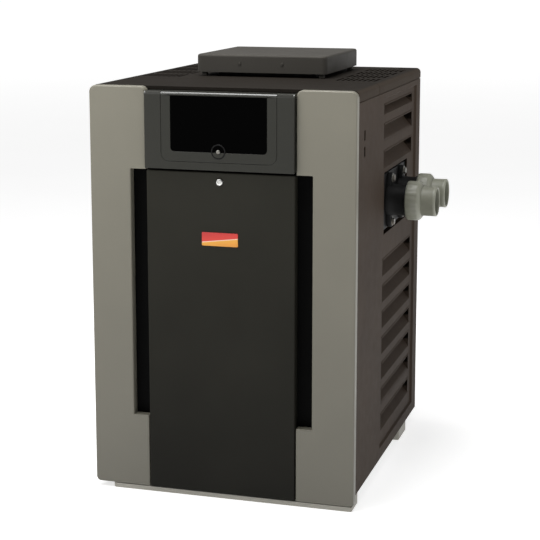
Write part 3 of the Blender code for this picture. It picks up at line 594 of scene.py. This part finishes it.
def make_control_cover():
    """A frame round the window, its top edge a roll, and the window's pane."""
    lid_low, lid_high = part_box("control_cover")
    pane_low, pane_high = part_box("cover_window")
    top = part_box("control_bezel")[1].z - ROLL
    front, back = lid_front(), lid_high.y
    gap = 0.0003
    outer = [
        (lid_low.x, lid_low.z, 0.0175),
        (lid_high.x, lid_low.z, 0.0175),
        (lid_high.x, top, 0.0004),
        (lid_low.x, top, 0.0004),
    ]
    inner = [
        (pane_low.x - gap, pane_low.z - gap, 0.0093),
        (pane_high.x + gap, pane_low.z - gap, 0.0093),
        (pane_high.x + gap, top - 0.0005, 0.0004),
        (pane_low.x - gap, top - 0.0005, 0.0004),
    ]
    edge, chamfer = 0.0016, 0.0005
    around = [(i, front + d) for i, d in round_edge(edge, 4)] + [(0, back)]
    within = [(0, back), (0, front + chamfer), (-chamfer, front)]
    rings = outline_rings(outer, facing_front, around, 8)
    rings += outline_rings(inner, facing_front, within, 8)
    bm = bmesh.new()
    add_rings(bm, rings, caps=False)
    piece("control_cover_frame", bm, "bezel_charcoal", ["control_cover"], "control_cover")
    bm = bmesh.new()
    add_top_roll(bm, lid_low.x, lid_high.x, front, lid_high.z, back, ROLL)
    piece("control_cover_top_roll", bm, "bezel_gloss", body="control_cover")

    corners = [(a, b, max(r - gap, 0.0002)) for a, b, r in inner]
    bm = bmesh.new()
    add_plate(bm, corners, facing_front, pane_low.y, pane_high.y, 0.0004)
    piece("cover_window_pane", bm, "smoked_window", ["cover_window"], "control_cover")


def make_latch():
    """The knob in its round cup at the window's lower edge."""
    low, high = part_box("cover_latch")
    centre_z = (low.z + high.z) / 2
    bore, rim = 0.0138, 0.0165
    ring = [(0, bore + 0.0004), (0.0005, bore), (0.0014, bore)]
    ring += [(0.0014, rim), (0.0006, rim), (0, rim - 0.0007)]
    bm = bmesh.new()
    add_turned(bm, ring, (0, lid_front() - 0.001, centre_z), BACK, steps=56)
    piece("latch_cup_rim", bm, "header_black", body="control_cover")
    length = high.y - low.y
    knob, shank = 0.0044, 0.0029
    head = [
        (0, 0),
        (0, 0.0028),
        (0.0005, 0.0038),
        (0.0016, knob),
        (0.0058, knob),
        (0.0058, shank),
        (length, shank),
        (length, 0),
    ]
    bm = bmesh.new()
    add_turned(bm, head, (0, low.y, centre_z), BACK, steps=32)
    half_cam = 0.0027
    cam = rectangle(-0.001, high.x, centre_z - half_cam, centre_z + half_cam, 0.0012)
    add_plate(bm, cam, facing_front, high.y - 0.003, high.y - 0.0005, 0.0003)
    piece("cover_latch_knob", bm, "weathered_zinc", ["cover_latch"], "cover_latch")


# Sheet metal


class Sheet:
    """A folded sheet on a grid of u by v, placed by place(u, v, inward), with holes and louvres.

    lean is how far a louvre goes inwards, and outward is how far its lip curls out.
    """

    def __init__(self, us, vs, place, holes=(), louvres=(), lean=0.0235, outward=0.0014):
        self.place = place
        self.lean = lean
        self.outward = outward
        openings = [*holes, *louvres]
        us = sorted({round(u, 6) for u in [*us, *(u for o in openings for u in o[:2])]})
        vs = sorted({round(v, 6) for v in [*vs, *(v for o in openings for v in o[2:])]})
        self.bm = bmesh.new()
        verts = {(u, v): self.bm.verts.new(place(u, v, 0)) for u in us for v in vs}
        for u, next_u in zip(us, us[1:]):
            for v, next_v in zip(vs, vs[1:]):
                middle = ((u + next_u) / 2, (v + next_v) / 2)
                if not any(o[0] < middle[0] < o[1] and o[2] < middle[1] < o[3] for o in openings):
                    corners = [(u, v), (next_u, v), (next_u, next_v), (u, next_v)]
                    self.bm.faces.new([verts[corner] for corner in corners])
        for louvre in louvres:
            self.add_louvre(*louvre)
        loose = [v for v in self.bm.verts if not v.link_faces]
        bmesh.ops.delete(self.bm, geom=loose, context="VERTS")

    def skin(self, rows):
        """Joins rows of points, which all have the same number of points."""
        made = [[self.bm.verts.new(p) for p in row] for row in rows]
        for row, following in zip(made, made[1:]):
            for i in range(len(row) - 1):
                self.bm.faces.new([row[i], row[i + 1], following[i + 1], following[i]])

    def add_louvre(self, u0, u1, v0, v1):
        """Metal pressed inwards from its lower edge and turned up inside, half closed at its ends."""
        height = (v1 - v0) * 0.86
        rain_lip = 0.016
        steps = 6
        rises = [(k / steps, self.lean * math.sin(math.pi / 2 * k / steps) ** 1.2) for k in range(steps + 1)]
        rows = [[(u, v0 + t * height, d) for u in (u0, u1)] for t, d in rises]
        rows.append([(u, v1 + rain_lip, self.lean) for u in (u0, u1)])
        self.skin([[self.place(*p) for p in row] for row in rows])
        for u in (u0, u1):
            cheek = [(v0 + t * height, d) for t, d in rises if t <= 0.5]
            self.skin([[self.place(u, v, 0), self.place(u, v, d)] for v, d in cheek])
        curl = [(0, 0), (0.0012, -0.6), (0.0026, -1.0), (0.0042, -0.9)]
        self.skin([[self.place(u, v1 - down, self.outward * out) for u in (u0, u1)] for down, out in curl])

    def finish(self, name, material, stands_for, inside):
        """The piece, thickened towards the inside."""
        bmesh.ops.remove_doubles(self.bm, verts=self.bm.verts, dist=1e-6)
        bmesh.ops.recalc_face_normals(self.bm, faces=self.bm.faces)
        for face in self.bm.faces:
            if face.normal.dot(inside) > 0.3:
                face.normal_flip()
        obj = piece(name, self.bm, material, stands_for, sharp=25)
        thick = obj.modifiers.new("thickness", "SOLIDIFY")
        thick.thickness = SHEET
        thick.offset = -1
        soften(obj, width=0.0005, angle=40)


LEVEL, PITCH, TALL = 0.513, 0.0624, 0.043  # the louvres' lip under the ports, their spacing, their height


def make_side_panel(node, side):
    """Panel with a recessed field of louvres, two thin slots, and the port opening where side is 1."""
    low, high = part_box(node)
    outer = high.x if side > 0 else -low.x
    front, back = low.y, high.y
    field_front, field_back = -0.0875, 0.302
    field_low, field_high = 0.060, 0.890
    recess, slope = 0.005, 0.004

    def place(y, z, inward):
        if y < front:
            return Vector((side * (outer - 0.010), front + 0.001, z))
        within_y = field_front + slope - 1e-6 <= y <= field_back - slope + 1e-6
        within_z = field_low + slope - 1e-6 <= z <= field_high - slope + 1e-6
        depth = recess if within_y and within_z else 0
        return Vector((side * (outer - depth - inward), y, z))

    ys = [front - 0.010, front, front + 0.001, back]
    ys += [field_front, field_front + slope, field_back - slope, field_back]
    zs = [low.z, field_low, field_low + slope, field_high - slope, field_high, high.z]
    louvre_front, louvre_back = -0.058, 0.268
    lips = [(LEVEL - PITCH * i, TALL) for i in range(7)]
    lips += [(0.768, TALL), (0.831, TALL), (0.876, 0.026)]
    if side < 0:
        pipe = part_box("gas_supply_pipe")
        pipe_z = (pipe[0].z + pipe[1].z) / 2
        lips = [lip for lip in lips if abs(lip[0] - TALL / 2 - pipe_z) > PITCH / 2]
    louvres = [(louvre_front, louvre_back, z - height, z) for z, height in lips]
    slot_front, slot_back, slot_height = -0.2815, -0.2705, 0.022
    holes = [(slot_front, slot_back, z, z + slot_height) for z in (0.7810, 0.8165)]
    port_opening = (-0.050, 0.216, 0.568, 0.714)
    if side > 0:
        holes.append(port_opening)
    sheet = Sheet(ys, zs, place, holes, louvres)
    sheet.finish(f"{node}_sheet", "cabinet_brown", [node], Vector((-side, 0, 0)))

    bm = bmesh.new()
    fold = rectangle(front + 0.009, back - 0.0015, field_high + 0.0025, high.z + 0.0135, SQUARE)
    start = side * (outer - 0.0023) - SHEET / 2
    add_plate(bm, fold, facing_right, start, start + SHEET, FOLD_EDGE, corner_steps=2)
    piece(f"{node}_fold", bm, "cabinet_brown")


def make_rear_panel():
    """A panel with two columns of louvres, stepped upper corners, and folds along its top and sides."""
    low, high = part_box("rear_panel")

    def place(x, z, inward):
        return Vector((x, high.y - inward, z))

    lips = [LEVEL - PITCH * 6, LEVEL - PITCH * 5, LEVEL - PITCH * 4, 0.831]
    louvre_width = 0.210
    louvres = [(left, left + louvre_width, z - TALL, z) for left in (-0.245, 0.035) for z in lips]
    corners = []
    for width, start in ((0.0070, 0.9245), (0.0025, 0.9222)):
        corners += [(low.x, low.x + width, start, high.z), (high.x - width, high.x, start, high.z)]
    sheet = Sheet([low.x, high.x], [low.z, high.z], place, corners, louvres, outward=0.0)
    sheet.finish("rear_panel_sheet", "cabinet_brown", ["rear_panel"], Vector((0, -1, 0)))

    bm = bmesh.new()
    top_depth, side_depth, side_top = 0.034, 0.0135, 0.9205
    drop = 0.003
    top_edge = rectangle(low.x + 0.014, high.x - 0.014, high.y - top_depth, high.y - SHEET, SQUARE)
    add_plate(bm, top_edge, facing_up, drop - high.z, drop + SHEET - high.z, FOLD_EDGE, corner_steps=2)
    for start in (low.x + 0.0010, high.x - 0.0010 - SHEET):
        side_edge = rectangle(high.y - side_depth, high.y - SHEET, low.z, side_top, SQUARE)
        add_plate(bm, side_edge, facing_right, start, start + SHEET, FOLD_EDGE, corner_steps=2)
    piece("rear_panel_folds", bm, "cabinet_brown")


def make_top_folds(front, under_deck):
    """The hem down from the deck's front edge, and a black strip from the front frame up to the deck: painted
    shade that keeps the gap above the bezel dark.
    """
    bm = bmesh.new()
    half_hem, bezel_gap = 0.290, 0.0013
    hem = rectangle(-half_hem, half_hem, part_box("control_bezel")[1].z + bezel_gap, under_deck, SQUARE)
    add_plate(bm, hem, facing_front, front, front + SHEET, FOLD_EDGE, corner_steps=2)
    piece("top_front_hem", bm, "deck_brown")

    low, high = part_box("front_frame")
    gap = 0.0003
    bm = bmesh.new()
    # painted shade: a black strip that fills the gap under the deck
    lip = rectangle(low.x, high.x, high.z + gap, under_deck - gap, SQUARE)
    add_plate(bm, lip, facing_front, low.y, high.y, FOLD_EDGE, corner_steps=2)
    piece("painted_shade_strip", bm, "frame_black")


def make_top():
    """The deck's two sheets, bent down at their sides, with rows of slots in the rear one."""
    low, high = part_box("top_rear_panel")
    half, top = high.x, high.z
    bend, steps = 0.011, 8
    shoulder = [
        (half - bend * (1 - math.cos(t)), top - bend * (1 - math.sin(t)))
        for t in (math.pi / 2 * k / steps for k in range(steps + 1))
    ]
    path = [(half, low.z), (half, top - bend - TINY), *shoulder, (half - bend - TINY, top)]
    count = len(path)
    flat = path[-1][0]

    def place(u, y, inward):
        """u is x on the flat middle, and whole steps past 1 and -1 go down the shoulders."""
        x, z = (u, top - inward) if abs(u) < 1 else path[count - 1 - round(abs(u))]
        return Vector((math.copysign(x, u), y, z))

    ends = [s * (1 + k) for s in (-1, 1) for k in range(count - 1)] + [-flat, flat]
    slot_width, slot_length = 0.006, 0.072
    slots = [
        (left, left + slot_width, front, front + slot_length)
        for first in (-0.2825, 0.1904)
        for left in (first + 0.0123 * i for i in range(8))
        for front in (-0.084 + 0.096 * j for j in range(4))
    ]
    rear_slot_length, rear_slot_front, rear_slot_back = 0.127, 0.321, 0.326
    slots += [(left, left + rear_slot_length, rear_slot_front, rear_slot_back) for left in (-0.277, 0.150)]
    flue = (-0.1262, 0.1262, 0.0038, 0.2182)
    front_low, front_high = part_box("top_front_panel")
    sheet = Sheet(ends, [front_low.y, front_high.y], place)
    sheet.finish("top_front_sheet", "deck_brown", ["top_front_panel"], Vector((0, 0, -1)))
    make_top_folds(front_low.y, top - SHEET)
    sheet = Sheet(ends, [low.y, high.y], place, [*slots, flue])
    sheet.finish("top_rear_sheet", "deck_brown", ["top_rear_panel"], Vector((0, 0, -1)))


def make_hood():
    """A low hood on four legs, with two screws in its front skirt and two in its rear one."""
    low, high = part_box("flue_hood")
    skirt, edge = 0.042, 0.0055
    bm = bmesh.new()
    outline = rectangle(low.x, high.x, low.y, high.y, 0.012)
    add_tray(bm, outline, facing_up, -high.z, skirt, SHEET, edge)
    leg_x, leg_inset, half_leg = 0.144, 0.018, 0.006
    for x in (-leg_x, leg_x):
        for y in (low.y + leg_inset, high.y - leg_inset):
            leg = rectangle(x - half_leg, x + half_leg, y - half_leg, y + half_leg, 0.0015)
            add_plate(bm, leg, facing_up, -high.z + SHEET, -low.z, 0.0004, corner_steps=4)
    piece("flue_hood_shell", bm, "hood_charcoal", ["flue_hood"])

    bm = bmesh.new()
    level = high.z - skirt / 2
    screw_x, size, head = 0.052, 0.0035, 0.002
    for x in (-screw_x, screw_x):
        add_hex_screw(bm, (x, low.y - 0.0001, level), FRONT, size, head)
        add_hex_screw(bm, (x, high.y + 0.0001, level), BACK, size, head)
    piece("hood_screws", bm, "hood_charcoal")


def make_base():
    """Two bars to stand on; the front one has a low lip along its front."""
    lip_depth, lip_height, bar_setback = 0.030, 0.0112, 0.0200
    for node in ("base_front_rail", "base_rear_rail"):
        low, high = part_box(node)
        bm = bmesh.new()
        front = low.y
        if node == "base_front_rail":
            lip = rectangle(low.x, high.x, front, front + lip_depth, 0.004)
            add_plate(bm, lip, facing_down, low.z, low.z + lip_height, 0.003)
            front += bar_setback
        bar = rectangle(low.x, high.x, front, high.y, 0.006)
        add_plate(bm, bar, facing_down, low.z + 0.0001, high.z, 0.0035)
        piece(f"{node}_bar", bm, "foot_grey", [node])


# Water connections


def make_nut(port):
    """The fluted nut of a union."""
    low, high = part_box(f"{port}_union_nut")
    start = (low.x, (low.y + high.y) / 2, (low.z + high.z) / 2)
    radius = (high.z - low.z) / 2 * 1.004
    thread, collar, collar_length = 0.0405, 0.0352, 0.008
    length = high.x - low.x
    profile = [
        (0, thread),
        (0, radius - 0.0035),
        (0.0012, radius - 0.0012),
        (0.0035, radius - 0.0003),
        (0.0045, radius),
        (length - 0.0095, radius),
        (length - 0.0080, radius - 0.0008),
        (length - 0.0040, radius - 0.0035),
        (length - 0.0010, radius - 0.0075),
        (length, radius - 0.0095),
        (length, collar),
        (length - collar_length, collar),
        (length - collar_length, thread),
    ]
    flutes = (24, 0.0008, 0.003, length - 0.009)
    bm = bmesh.new()
    add_turned(bm, profile, start, RIGHT, 128, flutes)
    piece(f"{port}_nut_body", bm, "union_grey", [f"{port}_union_nut"], f"{port}_union_nut", sharp=50)


def make_socket(port):
    """The socket of a union, which a pipe is glued into."""
    low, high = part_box(f"{port}_union_socket")
    start = (low.x, (low.y + high.y) / 2, (low.z + high.z) / 2)
    reach, depth = high.x - low.x, 0.038
    outer, bore, waterway, shoulder = 0.0345, 0.0302, 0.0270, 0.0398
    profile = [
        (0, waterway),
        (0, shoulder),
        (0.007, shoulder),
        (0.007, outer),
        (reach - 0.0080, outer),
        (reach - 0.0074, outer + 0.0003),
        (reach - 0.0020, outer + 0.0003),
        (reach - 0.0006, outer - 0.0008),
        (reach, outer - 0.0020),
        (reach, bore + 0.0014),
        (reach - 0.0016, bore),
        (reach - depth, bore - 0.0002),
        (reach - depth, waterway),
    ]
    bm = bmesh.new()
    add_turned(bm, profile, start, RIGHT, steps=64)
    piece(f"{port}_socket_body", bm, "union_grey", [f"{port}_union_socket"], sharp=40)


def make_flange(port):
    """A black neck that widens to the union, with an ear above and below for its bolts."""
    low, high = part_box(f"{port}_flange")
    y, z = (low.y + high.y) / 2, (low.z + high.z) / 2
    length = high.x - low.x
    waterway, root, end = 0.0272, 0.0385, 0.0396
    neck = [
        (0.0004, waterway),
        (0.0004, root),
        (0.0100, root),
        (0.0120, 0.0372),
        (0.0300, 0.0365),
        (length - 0.0115, 0.0372),
        (length - 0.0100, end),
        (length, end),
        (length, waterway),
    ]
    bm = bmesh.new()
    add_turned(bm, neck, (low.x, y, z), RIGHT, steps=64)
    half_ear = 0.017
    ear = rectangle(y - half_ear, y + half_ear, low.z, high.z, 0.0165)
    levels = [(0, low.x), (0, low.x + 0.0085), (0.0006, low.x + 0.0096), (0.0016, low.x + 0.010)]
    add_rings(bm, outline_rings(ear, facing_right, levels, 12))
    piece(f"{port}_flange_body", bm, "header_black", [f"{port}_flange"])


def make_bolt(node):
    """A hex head on a washer, with its shank."""
    low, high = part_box(node)
    washer, head, shank = 0.0108, 0.0085, 0.0045
    head_height, shank_length = 0.006, 0.0165
    at = (high.x - head_height, (low.y + high.y) / 2, (low.z + high.z) / 2)
    bm = bmesh.new()
    add_turned(bm, [(0, 0), (0, washer), (0.0012, washer - 0.0002), (0.0014, 0)], at, RIGHT, steps=40)
    hexagon = [(0.0012, 0), (0.0012, head), (0.0052, head), (head_height, head - 0.0009), (head_height, 0)]
    add_turned(bm, hexagon, at, RIGHT, steps=6, phase=0.5)
    add_turned(bm, [(0, 0), (0, shank), (shank_length, shank), (shank_length, 0)], at, LEFT, steps=20)
    piece(f"{node}_head", bm, "weathered_zinc", [node])


def make_ports():
    for port in ("inlet", "outlet"):
        make_nut(port)
        make_socket(port)
        make_flange(port)
        for place in ("upper", "lower"):
            make_bolt(f"{port}_{place}_bolt")


# Inside


def make_finned_tubes():
    for number in range(1, 6):
        node = f"finned_tube_{number}"
        low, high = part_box(node)
        y, z = (low.y + high.y) / 2, (low.z + high.z) / 2
        length = high.x - low.x
        end, tube, root, tip = 0.010, 0.011, 0.0125, 0.0240
        fins = 90
        pitch = (length - 2 * end) / fins
        fin = [(0, root), (0.1, tip), (0.3, tip), (0.4, root)]
        profile = [(0, 0), (0, tube)]
        for i in range(fins):
            profile += [(end + pitch * (i + share), radius) for share, radius in fin]
        profile += [(length, tube), (length, 0)]
        bm = bmesh.new()
        add_turned(bm, profile, (low.x, y, z), RIGHT, steps=20)
        piece(f"{node}_fins", bm, "copper", [node])


def add_pipe(bm, stations, steps=28):
    """A pipe through level (point, heading, radius) stations."""
    rings = []
    for point, heading, radius in stations:
        side = Vector((-heading.y, heading.x, 0)) * radius
        up = Vector((0, 0, radius))
        turns = [2 * math.pi * i / steps for i in range(steps)]
        rings.append([point + side * math.cos(t) + up * math.sin(t) for t in turns])
    add_rings(bm, rings)


def elbow_stations(before, here, after, radius):
    """The stations of a screwed elbow at a corner of the pipe."""
    bend, band_length = 0.022, 0.009
    body, band = radius + 0.0032, radius + 0.0047
    arriving, leaving = (here - before).normalized(), (after - here).normalized()
    first, last = here - arriving * bend, here + leaving * bend
    centre = first + leaving * bend
    stations = [(first - arriving * band_length, arriving, r) for r in (radius, band)]
    stations += [(first, arriving, r) for r in (band, body)]
    steps = 8
    for k in range(steps + 1):
        t = math.pi / 2 * k / steps
        point = centre - leaving * bend * math.cos(t) + arriving * bend * math.sin(t)
        stations.append((point, arriving * math.cos(t) + leaving * math.sin(t), body))
    stations += [(last, leaving, band)]
    return stations + [(last + leaving * band_length, leaving, r) for r in (band, radius)]


def make_gas_pipe():
    """Iron pipe with two screwed elbows; its outer end is threaded and open."""
    low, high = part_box("gas_supply_pipe")
    radius, bore, bore_depth = 0.0133, 0.0105, 0.05
    thread_pitch, thread_depth, crests = 0.0018, 0.0008, 11
    level, turn_x = (low.z + high.z) / 2, -0.262
    front, back = low.y + radius, high.y - radius
    path = [(high.x, front), (turn_x, front), (turn_x, back), (low.x, back)]
    corners = [Vector((x, y, level)) for x, y in path]
    stations = [(corners[0], (corners[1] - corners[0]).normalized(), radius)]
    for before, here, after in zip(corners, corners[1:], corners[2:]):
        stations += elbow_stations(before, here, after, radius)
    end, heading = corners[-1], (corners[-1] - corners[-2]).normalized()
    root = radius - thread_depth
    for i in range(crests, 0, -1):
        crest = end - heading * (thread_pitch * i)
        stations += [(crest, heading, radius), (crest + heading * (thread_pitch / 2), heading, root)]
    stations += [(end, heading, r) for r in (root, bore)]
    stations.append((end - heading * bore_depth, heading, bore))
    bm = bmesh.new()
    add_pipe(bm, stations)
    piece("gas_pipe_and_elbows", bm, "iron", ["gas_supply_pipe"])


NODE_MATERIALS = {
    "base_pan": "galvanised",
    **{f"burner_{number}": "galvanised" for number in range(1, 5)},
    "burner_tray": "galvanised",
    "chamber_shell": "galvanised",
    "circuit_board": "board",
    "control_bezel": "bezel_charcoal",
    "cover_hinge_pin": "zinc",
    "display_panel": "header_black",
    "drain_plug": "brass",
    # painted shade: the galvanised flue collector made dark because it lies in shadow
    "flue_collector": "shade_darkened_steel",
    # painted shade: the front frame near-black, so the slots behind the covers read as shade
    "front_frame": "frame_black",
    "gas_manifold": "iron",
    "gas_valve": "zinc",
    "gas_valve_knob": "red",
    "igniter": "ceramic",
    "ignition_control": "bezel_charcoal",
    "key_down": "key",
    "key_mode": "key",
    "key_up": "key",
    "lcd_screen": "display",
    "pressure_switch": "zinc",
    "refractory_lining": "ceramic",
    "return_header": "header_black",
    "transformer": "iron",
    "water_header": "header_black",
}


def dress_nodes():
    """Gives the frame's own nodes, where they show, their materials."""
    for node, material in NODE_MATERIALS.items():
        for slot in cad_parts[node].material_slots:
            slot.material = MATERIALS[material]


# Studio


def area_light(name, location, target, size, power):
    data = bpy.data.lights.new(name, "AREA")
    data.shape = "RECTANGLE"
    data.size, data.size_y = size
    data.energy = power
    light = bpy.data.objects.new(name, data)
    bpy.context.scene.collection.objects.link(light)
    light.location = location
    aim = Vector(target) - Vector(location)
    light.rotation_euler = aim.to_track_quat("-Z", "Y").to_euler()


def floor_material():
    """White that glows a little, and more so further away, so that it blends into the background."""
    material, tree, shader, coords = new_material("floor_white", roughness=0.9, metallic=0.0, specular=0.1)
    tones = [(0.3, (0.79, 0.79, 0.79)), (0.7, (0.81, 0.81, 0.81))]
    tree.links.new(ramp(tree, noise(tree, coords, 2), tones), shader.inputs["Base Color"])
    shader.inputs["Emission Color"].default_value = (1, 1, 1, 1)
    distance = tree.nodes.new("ShaderNodeVectorMath")
    distance.operation = "LENGTH"
    tree.links.new(coords, distance.inputs[0])
    near, far = 3.0, 14.0
    glow = map_range(tree, distance.outputs["Value"], near, far, 0.60, 0.80)
    tree.links.new(glow, shader.inputs["Emission Strength"])
    return material


def make_floor():
    """A round floor just under the feet."""
    level = cad_box[0].z - 0.0005
    bm = bmesh.new()
    bmesh.ops.create_circle(bm, cap_ends=True, segments=96, radius=80)
    bmesh.ops.translate(bm, verts=bm.verts, vec=(0, 0, level))
    mesh = bpy.data.meshes.new("floor")
    bm.to_mesh(mesh)
    bm.free()
    floor = bpy.data.objects.new("floor", mesh)
    bpy.context.scene.collection.objects.link(floor)
    mesh.materials.append(floor_material())


def make_studio():
    make_floor()
    world = bpy.data.worlds.new("studio")
    bpy.context.scene.world = world
    world.use_nodes = True
    background = world.node_tree.nodes["Background"]
    background.inputs["Color"].default_value = (1, 1, 1, 1)
    background.inputs["Strength"].default_value = 0.30
    area_light("key", (-1.15, -1.40, 1.75), (-0.2, -0.3, 0.8), (0.9, 0.9), 15)
    area_light("side", (3.6, -0.2, 2.2), (0.3, 0, 0.5), (0.8, 2.4), 20)
    area_light("top", (-0.3, -0.4, 3.2), (0, 0, 0.6), (1.8, 1.8), 80)
    bpy.context.scene.view_settings.view_transform = "Standard"


def make_camera():
    data = bpy.data.cameras.new("camera")
    data.lens = 98.46
    data.shift_y = -0.12
    camera = bpy.data.objects.new("camera", data)
    bpy.context.scene.collection.objects.link(camera)
    camera.location = (1.0117, -3.3689, 1.2103)
    turn, tilt = math.radians(16.573), math.radians(9.596)
    camera.rotation_euler = (math.pi / 2 - tilt, 0, turn)
    bpy.context.scene.camera = camera


make_front_covers()
make_door()
make_bezel()
make_control_cover()
make_latch()
make_side_panel("right_side_panel", 1)
make_side_panel("left_side_panel", -1)
make_rear_panel()
make_top()
make_hood()
make_base()
make_ports()
make_finned_tubes()
make_gas_pipe()
dress_nodes()
make_studio()
make_camera()
